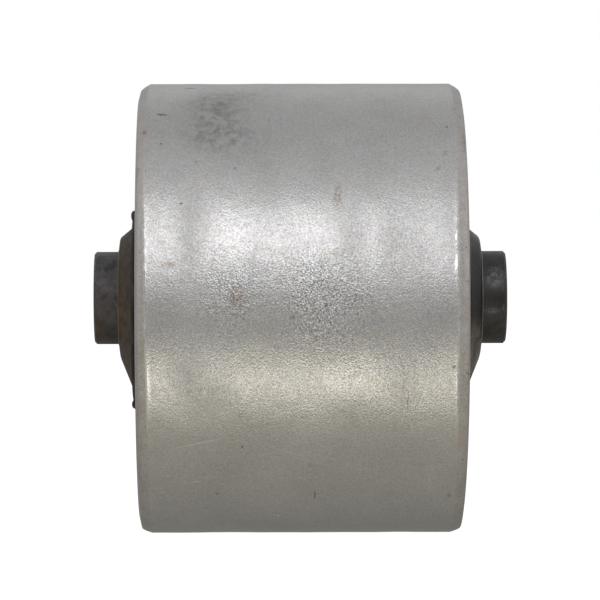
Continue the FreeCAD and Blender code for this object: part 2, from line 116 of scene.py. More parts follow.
def eased(corners, reach):
    """The closed outline with each corner rounded over the distance that reach(corner) gives."""
    points = []
    for before, here, after in zip(corners[-1:] + corners[:-1], corners, corners[1:] + corners[:1]):
        size = min(reach(here), 0.45 * (here - before).length, 0.45 * (after - here).length)
        if size <= 0:
            points.append(here)
            continue
        start = here + (before - here).normalized() * size
        end = here + (after - here).normalized() * size
        for step in range(ROUNDING_STEPS + 1):
            t = step / ROUNDING_STEPS
            points.append(start * (1 - t) ** 2 + here * 2 * t * (1 - t) + end * t ** 2)
    return points


def divided(points, longest):
    """The closed outline with its long runs cut into equal pieces no longer than longest(middle)."""
    fine = []
    for here, after in zip(points, points[1:] + points[:1]):
        pieces = max(1, math.ceil((after - here).length / longest((here + after) / 2)))
        fine += [here.lerp(after, i / pieces) for i in range(pieces)]
    return fine


def lathe(name, rings, segments, shape=None):
    """A mesh turned about the y axis through closed rings (y, radius, height of centre).

    shape(y, radius, angle) gives the y and the radius that a point really has.
    """
    table = np.array([tuple(ring) for ring in rings])
    angle = np.linspace(0, 2 * math.pi, segments, endpoint=False)
    y = np.repeat(table[:, :1], segments, axis=1)
    radius = np.repeat(table[:, 1:2], segments, axis=1)
    angles = np.repeat(angle[None, :], len(table), axis=0)
    if shape:
        y, radius = shape(y, radius, angles)
    points = np.stack(
        [radius * np.cos(angles), y, table[:, 2:3] + radius * np.sin(angles)],
        axis=-1,
    ).reshape(-1, 3)
    count = len(table)
    faces = []
    for i in range(count):
        low, high = i * segments, (i + 1) % count * segments
        for j in range(segments):
            k = (j + 1) % segments
            faces.append((low + j, low + k, high + k, high + j))
    mesh = bpy.data.meshes.new(name)
    mesh.from_pydata(points.tolist(), [], faces)
    shell = bmesh.new()
    shell.from_mesh(mesh)
    bmesh.ops.recalc_face_normals(shell, faces=shell.faces)
    for face in shell.faces:
        face.smooth = True
    for edge in shell.edges:
        edge.smooth = edge.calc_face_angle(0) < SHARP_ANGLE
    shell.to_mesh(mesh)
    shell.free()
    piece = bpy.data.objects.new(name, mesh)
    scene.collection.objects.link(piece)
    return piece


def write_rings(piece, name, values):
    """Stores a number for each ring of a lathe's mesh, the same all the way round."""
    points = len(piece.data.vertices) // len(values)
    write(piece.data, name, np.repeat(values, points))


def write(mesh, name, value):
    """Stores one number for each point of the mesh, from 0 to 1."""
    layer = mesh.attributes.new(name, "FLOAT", "POINT")
    layer.data.foreach_set("value", np.clip(value, 0, 1).astype(np.float32))


def ripple(angle, y, radius, around, along, seed, octaves=2):
    """Smooth noise from 0 to 1 over a cylinder, with waves of that length around it and along it."""
    values = np.empty(angle.shape)
    circle = radius / around
    flat = values.reshape(-1)
    for i, (a, b) in enumerate(zip(angle.reshape(-1), y.reshape(-1))):
        place = Vector((circle * math.cos(a), b / along + seed, circle * math.sin(a)))
        flat[i] = noise.fractal(place, 1.0, 2.0, octaves)
    return np.clip(values * 0.5 + 0.5, 0, 1)


def smooth_step(low, high, value):
    """0 below low, 1 above high, and a smooth rise between them."""
    t = np.clip((value - low) / (high - low), 0, 1)
    return t * t * (3 - 2 * t)


# ---------------------------------------------------------------- materials

def feed(tree, socket, value):
    """Joins an input to another node's output, or sets it to a constant."""
    if isinstance(value, bpy.types.NodeSocket):
        tree.links.new(value, socket)
    elif isinstance(value, tuple) and len(value) == 3 and socket.type == "RGBA":
        socket.default_value = (*value, 1)
    else:
        socket.default_value = value


def add_node(tree, kind, values=None, **settings):
    """A new node, with its settings, and with its inputs joined to outputs or set to constants."""
    made = tree.nodes.new(kind)
    for key, value in settings.items():
        setattr(made, key, value)
    for key, value in (values or {}).items():
        feed(tree, made.inputs[key], value)
    return made


class Finish:
    """A node material that is built by short calls. Its coordinates are millimetres in the rest frame."""

    def __init__(self, name, metallic, roughness):
        self.material = bpy.data.materials.new(name)
        self.material.use_nodes = True
        self.tree = self.material.node_tree
        self.shader = self.tree.nodes["Principled BSDF"]
        self.shader.inputs["Metallic"].default_value = metallic
        self.shader.inputs["Roughness"].default_value = roughness
        self.add = partial(add_node, self.tree)
        coordinates = self.add("ShaderNodeTexCoord")
        self.place = self.add(
            "ShaderNodeVectorMath",
            {0: coordinates.outputs["Object"], 3: 1 / MM},
            operation="SCALE",
        ).outputs[0]
        apart = self.add("ShaderNodeSeparateXYZ", {0: self.place})
        self.x, self.y, self.z = apart.outputs

    def calc(self, operation, first, second=0.0, third=0.0, clamp=False):
        """One sum on numbers."""
        values = {0: first, 1: second, 2: third}
        return self.add("ShaderNodeMath", values, operation=operation, use_clamp=clamp).outputs[0]

    def noise(self, size, detail=2.0, rough=0.5, distortion=0.0, where=None):
        """Noise from 0 to 1 whose blobs are about that many millimetres wide."""
        values = {
            "Vector": where or self.place,
            "Scale": 1 / size,
            "Detail": detail,
            "Roughness": rough,
            "Distortion": distortion,
        }
        return self.add("ShaderNodeTexNoise", values).outputs[0]

    def stretched(self, across, along, up):
        """The place with its x, y and z scaled, so that noise looks longer one way."""
        scale = {0: self.place, 1: (across, along, up)}
        return self.add("ShaderNodeVectorMath", scale, operation="MULTIPLY").outputs[0]

    def span(self, value, low, high, to_low=0.0, to_high=1.0):
        """The value moved from low..high to to_low..to_high, smoothly and without going beyond."""
        values = {0: value, 1: low, 2: high, 3: to_low, 4: to_high}
        return self.add("ShaderNodeMapRange", values, interpolation_type="SMOOTHSTEP").outputs[0]

    def blend(self, share, first, second):
        """The second colour over the first, as much as share says."""
        values = {0: share, 6: first, 7: second}
        return self.add("ShaderNodeMix", values, data_type="RGBA").outputs[2]

    def attribute(self, name):
        """A number that the mesh carries at its points."""
        return self.add("ShaderNodeAttribute", attribute_name=name).outputs["Fac"]

    def turn(self):
        """Angle (radians, from +x up to +z) and radius (millimetres) about the roller's axis."""
        angle = self.calc("ARCTAN2", self.z, self.x)
        squares = [self.calc("MULTIPLY", value, value) for value in (self.z, self.x)]
        return angle, self.calc("SQRT", self.calc("ADD", *squares))

    def bump(self, height, distance, under=None):
        """A bump normal, that many millimetres high where height is 1, over another normal."""
        values = {"Height": height, "Distance": distance * MM, "Strength": 1.0}
        if under:
            values["Normal"] = under
        return self.add("ShaderNodeBump", values).outputs[0]

    def finish(self, colour, roughness, normal):
        """Joins what varies over the surface to the shader."""
        for key, value in (("Base Color", colour), ("Roughness", roughness), ("Normal", normal)):
            feed(self.tree, self.shader.inputs[key], value)
        return self.material


def on_skin(finish, radius, skin_depth):
    """(mm around, mm along, mm under the skin) of a point near a cylinder; 0, 0, 0 faces the camera."""
    angle, away = finish.turn()
    around = finish.calc("MULTIPLY", angle, radius)
    under = finish.calc("MAXIMUM", finish.calc("SUBTRACT", radius - skin_depth, away), 0.0)
    return finish.add("ShaderNodeCombineXYZ", {0: around, 1: finish.y, 2: under}).outputs[0]


SOFT_EDGE = 0.5


def spot(finish, skin, radius, degrees, along, wide, tall, turn):
    """1 inside an ellipse on the skin and 0 outside, with a soft edge. Degrees count up from the front."""
    mapped = finish.add(
        "ShaderNodeMapping",
        {
            "Vector": skin,
            "Location": (math.radians(degrees) * radius, along, 0.0),
            "Rotation": (0.0, 0.0, math.radians(turn)),
            "Scale": (tall / 2, wide / 2, 1.0),
        },
        vector_type="TEXTURE",
    ).outputs[0]
    length = finish.add("ShaderNodeVectorMath", {0: mapped}, operation="LENGTH").outputs["Value"]
    return finish.span(length, 1 + SOFT_EDGE, 1 - SOFT_EDGE)


def marks(finish, skin, radius, spots):
    """1 on any of the spots (degrees, mm along, mm wide, mm tall, degrees turned) and 0 between them."""
    masks = [spot(finish, skin, radius, *place) for place in spots]
    total = masks[0]
    for mask in masks[1:]:
        total = finish.calc("MAXIMUM", total, mask)
    return total


# ---- the roller

TREAD_RADIUS = 73.0
TREAD_SKIN_DEPTH = 4.5
GRAIN_SIZE = 0.55
GRAIN_DEPTH = 0.085
SALT_SIZE = 0.60

DULL_STEEL = (0.535, 0.528, 0.518)
PALE_STEEL = (0.585, 0.578, 0.568)
MOTTLED_STEEL = (0.42, 0.40, 0.385)
GRAIN_PIT = (0.13, 0.13, 0.132)
GRAIN_PEAK = (0.95, 0.94, 0.93)
GRIME_GREY = (0.25, 0.245, 0.24)
PINK_FLUSH = (0.46, 0.33, 0.27)
GREEN_TINT = (0.53, 0.55, 0.46)
RIM_BROWN = (0.45, 0.33, 0.27)
RUST_SPECK = (0.15, 0.065, 0.045)
FORGED_DARK = (0.155, 0.142, 0.130)
FORGED_PALE = (0.225, 0.200, 0.176)
FORGED_BLACK = (0.10, 0.092, 0.086)
RUST = (0.29, 0.20, 0.15)
DIRT = (0.10, 0.095, 0.09)
SCRATCH_AND_GLINT_PALE = (0.9, 0.9, 0.88)
POLISH_AND_GLINT_PALE = (0.92, 0.91, 0.89)

# marks on the tread: degrees up from the front, mm along, mm wide, mm tall, degrees turned
RUST_SPOTS = (
    (38.5, -32.9, 1.1, 1.5, 0),
    (56.0, -31.1, 1.2, 2.4, 0),
    (54.6, -10.4, 1.2, 1.6, 0),
    (36.6, 42.6, 1.2, 1.5, 20),
    (41.6, 45.2, 1.3, 2.2, 20),
    (28.3, 11.1, 2.6, 9.0, 3),
    (13.7, 10.8, 5.0, 2.2, -12),
    (8.9, -10.8, 1.6, 1.0, 0),
    (10.6, -41.2, 5.0, 1.6, 0),
    (2.7, -20.3, 5.0, 7.5, 0),
    (-7.1, 3.8, 2.2, 1.6, 10),
    (-42.4, 2.1, 1.2, 1.6, 0),
    (-54.3, 46.5, 1.3, 2.8, 0),
    (-27.0, -52.3, 1.1, 1.3, 0),
    (47.0, 51.0, 1.2, 9.0, 0),
    (36.0, -51.4, 1.0, 7.0, 0),
    (168.0, 20.0, 3.0, 6.5, 5),
    (-131.0, -31.0, 5.0, 2.2, -10),
    (141.0, -38.0, 1.6, 2.6, 0),
    (-104.0, 14.0, 2.4, 3.2, 0),
    (-158.0, 33.0, 1.4, 2.2, 0),
)
DARK_SPOTS = (
    (75.6, -35.2, 3.4, 1.6, 0),
    (57.0, -44.0, 3.4, 1.2, 8),
    (49.3, -49.2, 0.8, 1.8, 0),
    (45.0, -43.9, 0.8, 0.8, 0),
    (36.8, -20.8, 0.8, 0.7, 0),
    (26.4, -37.5, 0.9, 0.8, 0),
    (51.4, 45.7, 0.7, 1.1, 0),
    (-14.6, 46.8, 0.8, 1.0, 0),
    (-36.5, -18.8, 0.8, 0.9, 0),
    (-53.3, -26.6, 0.8, 1.1, 0),
    (-23.4, 32.6, 0.45, 4.8, 4),
    (-54.0, 4.0, 0.4, 5.0, 2),
    (152.0, 6.0, 0.45, 9.0, 12),
    (-145.0, 8.0, 3.2, 1.4, 20),
    (-170.0, -22.0, 0.9, 1.1, 0),
    (112.0, -14.0, 0.8, 1.4, 0),
)
GLINTS = (
    (11.5, 47.7, 1.0, 6.5, 8),
    (17.6, 47.6, 0.7, 2.4, 0),
)
# scratches and painted glints: pale spots where small facets catch the light
SCRATCH_AND_GLINT_SPOTS = (
    (-21.0, -30.2, 0.8, 1.2, 0),
    (-48.3, -33.2, 2.6, 0.5, -5),
    (-64.8, -7.5, 0.8, 1.6, 0),
    (-35.2, -32.0, 17.0, 0.35, -14),
)


def ragged_skin(finish, skin, wander):
    """The place on the skin, moved about within that many millimetres, so that marks get ragged edges."""
    noise_colour = finish.add(
        "ShaderNodeTexNoise",
        {"Vector": finish.place, "Scale": 0.9, "Detail": 2.0},
    ).outputs["Color"]
    moved = finish.add(
        "ShaderNodeVectorMath",
        {0: noise_colour, 1: (wander, wander, 0.0), 2: skin},
        operation="MULTIPLY_ADD",
    ).outputs[0]
    return finish.add(
        "ShaderNodeVectorMath",
        {0: moved, 1: (wander / 2, wander / 2, 0.0)},
        operation="SUBTRACT",
    ).outputs[0]


def clean_tread_colour(steel, cloud, mottle, grit):
    """Grey steel in slow clouds, with a salt-and-pepper grain that is stronger where there is grit."""
    colour = steel.blend(steel.span(cloud, 0.3, 0.7), DULL_STEEL, PALE_STEEL)
    colour = steel.blend(steel.span(mottle, 0.35, 0.75, 0, 0.14), colour, MOTTLED_STEEL)
    salt = steel.noise(SALT_SIZE, 1, 0.5)
    contrast = steel.calc("MULTIPLY_ADD", grit, 0.6, 0.17)
    pits = steel.calc("MULTIPLY", contrast, steel.span(salt, 0.50, 0.30))
    colour = steel.blend(pits, colour, GRAIN_PIT)
    peaks = steel.calc("MULTIPLY", contrast, steel.span(salt, 0.50, 0.70))
    return steel.blend(peaks, colour, GRAIN_PEAK)


def stained_tread_colour(steel, colour, grime, radius):
    """Smudges of grime, a faint pink and green tinge all over, and light rust on the bevels."""
    blots = steel.span(steel.noise(3.0, 4, 0.65, 0.4), 0.38, 0.66, 0.25, 1.0)
    colour = steel.blend(steel.calc("MULTIPLY", grime, blots), colour, GRIME_GREY)
    flush = steel.span(steel.noise(9, 4, 0.7, 0.3), 0.56, 0.72, 0, 0.16)
    colour = steel.blend(flush, colour, PINK_FLUSH)
    tint = steel.span(steel.noise(3.4, 2, 0.6), 0.42, 0.62, 0, 0.22)
    colour = steel.blend(tint, colour, GREEN_TINT)
    near_side = steel.span(steel.calc("ABSOLUTE", steel.y), 47.0, 49.4)
    rim = steel.calc("MULTIPLY", near_side, steel.span(radius, 66, 69))
    brown = steel.calc("MULTIPLY", rim, steel.span(steel.noise(4.5, 4, 0.7), 0.38, 0.66, 0.06, 0.36))
    colour = steel.blend(brown, colour, RIM_BROWN)
    specks = steel.calc("MULTIPLY", rim, steel.span(steel.noise(1.3, 2, 0.6), 0.66, 0.72, 0, 0.6))
    return steel.blend(specks, colour, RUST_SPECK)


def forged_colour(steel, cloud):
    """The dark scale that is left on the webs."""
    scale = steel.blend(steel.span(cloud, 0.35, 0.68), FORGED_DARK, FORGED_PALE)
    black = steel.span(steel.noise(1.3, 3, 0.6), 0.45, 0.7, 0, 0.35)
    return steel.blend(black, scale, FORGED_BLACK)


def marked_tread_colour(steel, colour, skin, polish_and_glint):
    """Rust flecks, dirt, scratches with painted glints, and the polished edges with their painted glints,
    over the rest.
    """
    ragged = ragged_skin(steel, skin, 0.9)
    rust = marks(steel, ragged, TREAD_RADIUS, RUST_SPOTS)
    rust = steel.calc("MULTIPLY", rust, steel.span(steel.noise(1.1, 3, 0.7), 0.38, 0.62, 0.05, 0.6))
    colour = steel.blend(rust, colour, RUST)
    dark = marks(steel, ragged, TREAD_RADIUS, DARK_SPOTS)
    dark = steel.calc("MULTIPLY", dark, steel.span(steel.noise(0.9, 2, 0.7), 0.3, 0.6, 0.3, 0.8))
    colour = steel.blend(dark, colour, DIRT)
    # scratches and painted glints: the steel is paler on these spots
    bright = marks(steel, skin, TREAD_RADIUS, SCRATCH_AND_GLINT_SPOTS)
    colour = steel.blend(steel.calc("MULTIPLY", bright, 0.5), colour, SCRATCH_AND_GLINT_PALE)
    # painted glints: the polished edges are made paler, most where they face the front
    return steel.blend(steel.calc("MULTIPLY", polish_and_glint, 0.8), colour, POLISH_AND_GLINT_PALE)


def tread_material():
    """Blasted forged steel that has lain about: fine grain, smudges, rust specks, polished rim edges with
    painted glints.
    """
    steel = Finish("Tread_Steel", 1.0, 0.36)
    skin = on_skin(steel, TREAD_RADIUS, TREAD_SKIN_DEPTH)
    _, radius = steel.turn()
    cloud = steel.noise(17, 3, 0.55)
    mottle = steel.noise(2.4, 3, 0.6)
    grime = steel.attribute("grime")
    grit = steel.attribute("grit")
    forged = steel.attribute("forged")
    worn = steel.span(steel.noise(1.6, 4, 0.7), 0.42, 0.6, 0.3, 1.0)
    glints = marks(steel, skin, TREAD_RADIUS, GLINTS)
    # real polish on the bevel edges, together with painted glints where they face the front
    polish_and_glint = steel.calc("MAXIMUM", steel.calc("MULTIPLY", steel.attribute("polish_and_glint"), worn), glints)
    polish_and_glint = steel.calc("MAXIMUM", polish_and_glint, steel.attribute("left_low_glint"))

    colour = clean_tread_colour(steel, cloud, mottle, grit)
    colour = stained_tread_colour(steel, colour, grime, radius)
    colour = steel.blend(forged, colour, forged_colour(steel, cloud))
    colour = marked_tread_colour(steel, colour, skin, polish_and_glint)

    roughness = steel.span(mottle, 0.25, 0.75, 0.33, 0.38)
    roughness = steel.calc("MULTIPLY_ADD", grime, 0.16, roughness)
    roughness = steel.calc("MULTIPLY_ADD", steel.attribute("dull"), 0.16, roughness)
    roughness = steel.calc("MULTIPLY_ADD", steel.attribute("shine"), -0.06, roughness)
    roughness = steel.calc("MULTIPLY_ADD", forged, 0.32, roughness)
    roughness = steel.calc("MULTIPLY_ADD", polish_and_glint, -0.20, roughness)

    depth = steel.calc("MULTIPLY_ADD", grit, 1.2, 1.0)
    depth = steel.calc("MULTIPLY_ADD", polish_and_glint, -0.8, depth)
    grain = steel.calc("SUBTRACT", steel.noise(GRAIN_SIZE, 1, 0.5), 0.5)
    dimples = steel.calc("MULTIPLY", steel.noise(2.2, 3, 0.6), forged)
    rings = steel.add("ShaderNodeCombineXYZ", {0: radius, 1: 0.0, 2: 0.0}).outputs[0]
    grooves = steel.calc("MULTIPLY", steel.noise(0.5, 2, 0.6, where=rings), steel.attribute("turned"))
    normal = steel.bump(steel.noise(6, 2), 0.10)
    normal = steel.bump(dimples, 0.30, normal)
    normal = steel.bump(steel.calc("MULTIPLY", grain, depth), GRAIN_DEPTH, normal)
    normal = steel.bump(grooves, 0.03, normal)
    return steel.finish(colour, roughness, normal)


def rubber_material(name, dust):
    """Black rubber with dust in its pores."""
    rubber = Finish(name, 0.0, 0.6)
    cloud = rubber.noise(5, 4, 0.6)
    colour = rubber.blend(rubber.span(cloud, 0.42, 0.66), (0.016, 0.014, 0.013), dust)
    roughness = rubber.span(cloud, 0.3, 0.7, 0.45, 0.8)
    normal = rubber.bump(rubber.noise(0.9, 3, 0.6), 0.12)
    return rubber.finish(colour, roughness, normal)


def collar_material(name, black, dust, dust_from, dust_to, rough_low, rough_high):
    """Black iron with brown dust, thicker low down, and darker, dark red at the foot next to the roller.

    It gives the finish, colour, roughness and normal, and each collar's own material goes on from them.
    """
    iron = Finish(name, 0.0, 0.4)
    iron.shader.inputs["Specular IOR Level"].default_value = 0.30
    cloud = iron.noise(7, 4, 0.6, 0.2)
    fine = iron.noise(0.8, 3, 0.65)
    fall = iron.span(iron.z, 22.0, -16.0)
    share = iron.calc("MULTIPLY_ADD", fall, 0.15, iron.span(cloud, dust_from, dust_to, 0, 0.75), clamp=True)
    share = iron.calc("MULTIPLY", share, iron.span(fine, 0.3, 0.6, 0.55, 1.0))
    colour = iron.blend(share, black, dust)
    # darker, dark red towards the foot, where the collar meets the roller's side
    foot = iron.span(iron.calc("ABSOLUTE", iron.y), 55.1, 54.1, 0, 0.5)
    colour = iron.blend(foot, colour, (0.030, 0.015, 0.012))
    roughness = iron.span(cloud, 0.3, 0.7, rough_low, rough_high)
    normal = iron.bump(iron.noise(2.6, 3, 0.55), 0.12)
    normal = iron.bump(fine, 0.04, normal)
    return iron, colour, roughness, normal


def left_collar_material():
    """The browner of the two collars: dry and dusty all over."""
    iron, colour, roughness, normal = collar_material(
        "Left_Collar_Iron", (0.050, 0.038, 0.026), (0.130, 0.088, 0.048), 0.38, 0.66, 0.45, 0.7)
    blots = iron.span(iron.noise(2.8, 4, 0.65, 0.3), 0.44, 0.62, 0, 0.65)
    colour = iron.blend(blots, colour, (0.026, 0.022, 0.019))
    return iron.finish(colour, roughness, normal)


def right_collar_material():
    """The blacker, glossier collar: greyer on top from a painted sheen, and dusty in front just below the
    middle.
    """
    iron, colour, roughness, normal = collar_material(
        "Right_Collar_Iron", (0.0105, 0.0098, 0.0098), (0.044, 0.035, 0.027), 0.55, 0.75, 0.24, 0.42)
    ragged = iron.noise(3.0, 4, 0.65, 0.3)
    below = iron.span(iron.calc("ABSOLUTE", iron.calc("ADD", iron.z, 12.0)), 10.0, 4.0)
    front = iron.calc("MULTIPLY", below, iron.span(iron.x, 4.0, 12.0))
    dusty = iron.calc("MULTIPLY", front, iron.span(ragged, 0.36, 0.58))
    colour = iron.blend(dusty, colour, (0.095, 0.076, 0.048))
    # painted sheen: the top is greyed where the highlight falls
    top = iron.span(iron.z, 15.0, 27.0, 0, 0.45)
    colour = iron.blend(top, colour, (0.070, 0.069, 0.065))
    return iron.finish(colour, roughness, normal)


SCUFFS = (
    # on the right spigot: degrees up from the front, mm along, mm wide, mm tall, degrees turned
    (36.0, 62.6, 5.6, 6.0, 0),
    (-4.0, 61.6, 4.2, 2.2, 0),
)
SPIGOT_RADIUS = 15.0
SPIGOT_SKIN_DEPTH = 2.5
BLACK_OXIDE = (0.030, 0.028, 0.027)
WORN_OXIDE = (0.072, 0.068, 0.066)
PAINTED_HIGHLIGHT_GREY = (0.112, 0.104, 0.102)
BROWN_RUST = (0.135, 0.082, 0.042)
SCUFFED_STEEL = (0.19, 0.185, 0.18)


def axle_material():
    """Black-oxide steel: the left spigot paler on top from a painted highlight and rusty low down, grey
    scuffs on the right one.
    """
    steel = Finish("Axle_Black_Oxide", 0.35, 0.45)
    skin = on_skin(steel, SPIGOT_RADIUS, SPIGOT_SKIN_DEPTH)
    cloud = steel.noise(6, 4, 0.62, 0.3)
    fine = steel.noise(0.7, 3, 0.7)
    colour = steel.blend(steel.span(cloud, 0.35, 0.7), BLACK_OXIDE, WORN_OXIDE)
    left = steel.span(steel.y, -50.0, -58.0)
    # painted highlight: patchy grey over the upper part of the left spigot
    pale = steel.span(steel.noise(3.0, 4, 0.68, 0.3), 0.38, 0.60, 0.05, 0.85)
    pale = steel.calc("MULTIPLY", pale, steel.span(steel.z, -10.0, -2.0, 0.2, 0.9))
    colour = steel.blend(steel.calc("MULTIPLY", pale, left), colour, PAINTED_HIGHLIGHT_GREY)
    low = steel.span(steel.z, 6.0, -9.0, 0.12, 1.0)
    patches = steel.span(steel.noise(6.5, 4, 0.6, 0.3), 0.44, 0.66)
    rust = steel.calc("MULTIPLY", steel.calc("MULTIPLY", left, low), patches)
    colour = steel.blend(steel.calc("MULTIPLY", rust, 0.75), colour, BROWN_RUST)
    scuffs = steel.span(steel.noise(2.2, 4, 0.7, where=steel.stretched(1, 2.2, 0.8)), 0.58, 0.72, 0, 0.4)
    rubbed = marks(steel, skin, SPIGOT_RADIUS, SCUFFS)
    rubbed = steel.calc("MULTIPLY", rubbed, steel.span(steel.noise(1.1, 3, 0.7), 0.38, 0.62, 0.1, 0.8))
    colour = steel.blend(steel.calc("MAXIMUM", rubbed, scuffs), colour, SCUFFED_STEEL)
    roughness = steel.span(cloud, 0.3, 0.7, 0.34, 0.58)
    normal = steel.bump(steel.noise(1.8, 4, 0.6), 0.07)
    normal = steel.bump(fine, 0.03, normal)
    return steel.finish(colour, roughness, normal)


TURNED_GROOVE = 0.35
TURNED_DEPTH = 0.012


def turned_material(name, colours, roughness):
    """Turned metal: fine rings about the axle and a slow change between two colours."""
    metal = Finish(name, 1.0, roughness)
    _, radius = metal.turn()
    cloud = metal.noise(5, 3, 0.6)
    lines = metal.add("ShaderNodeCombineXYZ", {0: radius, 1: metal.y, 2: 0.0}).outputs[0]
    rings = metal.noise(TURNED_GROOVE, 2, 0.6, where=lines)
    colour = metal.blend(metal.span(cloud, 0.3, 0.7), *colours)
    rough = metal.span(rings, 0.2, 0.8, roughness - 0.07, roughness + 0.09)
    return metal.finish(colour, rough, metal.bump(rings, TURNED_DEPTH))


# ---------------------------------------------------------------- pieces

roller_low, roller_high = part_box("roller_shell")
HALF_WIDTH = roller_high.y
TREAD = roller_high.z
BEVEL_WIDTH = 3.6 * MM
BEVEL_DROP = 2.4 * MM
BEVEL_STATION = HALF_WIDTH - BEVEL_WIDTH
RIM_LAND = 67 * MM       # the side faces are flat between here and the bevel
WEB_HUB_EDGE = 37.5 * MM, 41 * MM
WEB_RIM_EDGE = 59.5 * MM, 63.5 * MM
SEGMENTS = 400

RIPPLE_DEPTH = 0.26 * MM
RIPPLE_AROUND, RIPPLE_ALONG, RIPPLE_SEED = 32 * MM, 13 * MM, 3.1
SWELL_DEPTH = 0.10 * MM
SWELL_AROUND, SWELL_ALONG, SWELL_SEED = 60 * MM, 40 * MM, 11.7
WORN_LEFT = 0.65 * MM    # how far the rim's outer corner is worn back
WORN_RIGHT = 0.40 * MM
SHALLOW_BELOW = 0.42     # how much of its drop the bevel lacks at the bottom
POLISH_WIDTH = 0.31 * MM


def roller_step(point):
    """How long a run of the roller's outline may be: short where it shows, shortest at the rim's edge."""
    at_bevel_edge = abs(abs(point.x) - BEVEL_STATION) < 1.2 * MM and point.y > TREAD - 1 * MM
    on_bevel = abs(point.x) > BEVEL_STATION and point.y > RIM_LAND
    on_tread = point.y > TREAD - 0.5 * MM
    outside_cavity = point.y > 30.5 * MM
    if at_bevel_edge:
        return 0.35 * MM
    if on_bevel:
        return 0.45 * MM
    if on_tread:
        return 1.3 * MM
    return 2.2 * MM if outside_cavity else 8 * MM


def bevel_shift(side, angle):
    """How far the bevel's inner edge lies inside its nominal place: the bevel wasn't cut true."""
    left = -0.7 * np.sin(2 * (angle + math.radians(10)))
    right = 0.25 + 0.22 * np.sin(2 * angle + 2.0)
    return np.where(side < 0, left, right) * MM


def roller_shape(y, radius, angle):
    """Ripples on the tread, and a bevel whose width and depth waver and whose outer corner is worn."""
    from_side = HALF_WIDTH - np.abs(y)
    on_tread = smooth_step(71.6 * MM, 72.8 * MM, radius) * smooth_step(0, 3 * MM, from_side)
    waves = ripple(angle, y, TREAD, RIPPLE_AROUND, RIPPLE_ALONG, RIPPLE_SEED)
    swell = ripple(angle, y, TREAD, SWELL_AROUND, SWELL_ALONG, SWELL_SEED, 1)
    new_radius = radius - on_tread * (RIPPLE_DEPTH * waves + SWELL_DEPTH * swell)

    side = np.sign(y)
    outside = radius > 70.0 * MM
    bevel = np.clip(1 - from_side / BEVEL_WIDTH, 0, 1)
    near_corner = smooth_step(66 * MM, TREAD - BEVEL_DROP, radius)
    shift = bevel_shift(side, angle)
    tread_part = smooth_step(9 * MM, BEVEL_WIDTH, from_side)
    inward = np.where(from_side >= BEVEL_WIDTH, tread_part, 1 - bevel) * outside
    down = np.where(from_side >= BEVEL_WIDTH, 0, bevel) * near_corner
    slope = BEVEL_DROP / BEVEL_WIDTH
    shallow = BEVEL_DROP * SHALLOW_BELOW * smooth_step(-0.75, -1.0, np.sin(angle))
    new_radius = np.minimum(new_radius - down * (np.maximum(shift, 0) * slope - shallow), TREAD)

    worn = np.where(side < 0, WORN_LEFT, WORN_RIGHT) * np.where(bevel > 0, bevel ** 3, 0)
    worn = worn * smooth_step(67.2 * MM, TREAD - BEVEL_DROP, radius) ** 2
    return y - side * (shift * inward + worn), new_radius


def patches(piece, name, places):
    """Writes soft patches on the tread as an attribute that is their sum, from 0 to 1."""
    mesh = piece.data
    co = np.empty(len(mesh.vertices) * 3)
    mesh.vertices.foreach_get("co", co)
    co = co.reshape(-1, 3) / MM
    angle = np.arctan2(co[:, 2], co[:, 0])
    away = np.hypot(co[:, 0], co[:, 2])
    value = np.zeros(len(co))
    for degrees, along, size_around, size_along, strength in places:
        gap = (angle - math.radians(degrees) + math.pi) % (2 * math.pi) - math.pi
        far = (gap * away / size_around) ** 2 + ((co[:, 1] - along) / size_along) ** 2
        value += strength * np.exp(-far)
    write(mesh, name, value * (away > 60))


# patches on the tread: degrees up from the front, mm along, size in mm around and along, strength
GRIME = (
    (61, -27, 12, 9, 0.8),
    (47, -25, 8, 12, 0.75),
    (68, -16, 8, 9, 0.3),
    (37, 9, 8, 5, 0.25),
    (34, -10, 9, 6, 0.2),
    (-28, 14, 5, 6, 0.35),
    (-24, -28, 6, 8, 0.2),
    (10, -15, 7, 3, 0.2),
    (146, 26, 9, 13, 0.55),
    (-152, -20, 13, 9, 0.5),
    (-101, 30, 9, 12, 0.35),
)
GRIT = (
    (-18, -30, 12, 25, 0.25),
    (-18, 25, 12, 25, 0.35),
    (14, -25, 15, 25, 0.30),
    (14, 25, 15, 25, 0.30),
    (3, -22, 9, 7, 0.75),
    (6, 3, 8, 8, 0.9),
    (-2, 5, 9, 8, 1.0),
    (2, 17, 9, 5, 0.4),
    (132, -14, 17, 17, 0.6),
    (-166, 16, 18, 15, 0.8),
    (-122, -24, 15, 12, 0.6),
    (98, 18, 11, 20, 0.4),
)
DULL = (
    (18, -35, 20, 4, 0.9),
    (30, -33, 12, 4, 0.6),
    (-15, -36, 12, 4, 0.5),
    (17, 15.5, 11, 4, 0.8),
    (16, 27, 10, 3, 0.5),
    (20, 46, 16, 4, 0.6),
    (-20, 31, 10, 4, 0.5),
    (32, -9, 10, 4, 0.5),
    (33, 12, 10, 5, 0.5),
    (-24, -28, 7, 5, 0.6),
    (-27, 14, 6, 5, 0.4),
    (-18, -35, 9, 9, 0.5),
    (16, 34, 18, 7, 0.6),
    (160, -36, 26, 6, 0.7),
    (-142, 37, 22, 6, 0.7),
    (118, 6, 16, 5, 0.6),
)
SHINE = (
    (17, -22, 9, 7, 1.0),
    (25, -22, 9, 3, 0.5),
    (17, -9, 7, 5, 0.6),
    (28, -2, 8, 3, 0.6),
    (21, 3, 8, 5, 0.5),
    (24, 35, 10, 5, 0.4),
    (-17, 13.0, 7, 8, 1.0),
    (-17, 13.0, 5, 5, 0.7),
    (-20, 22, 6, 6, 0.5),
    (-19, -42, 6, 4, 0.7),
    (-17, -17, 6, 5, 0.5),
    (12, 47.8, 4, 0.8, 1.0),
)


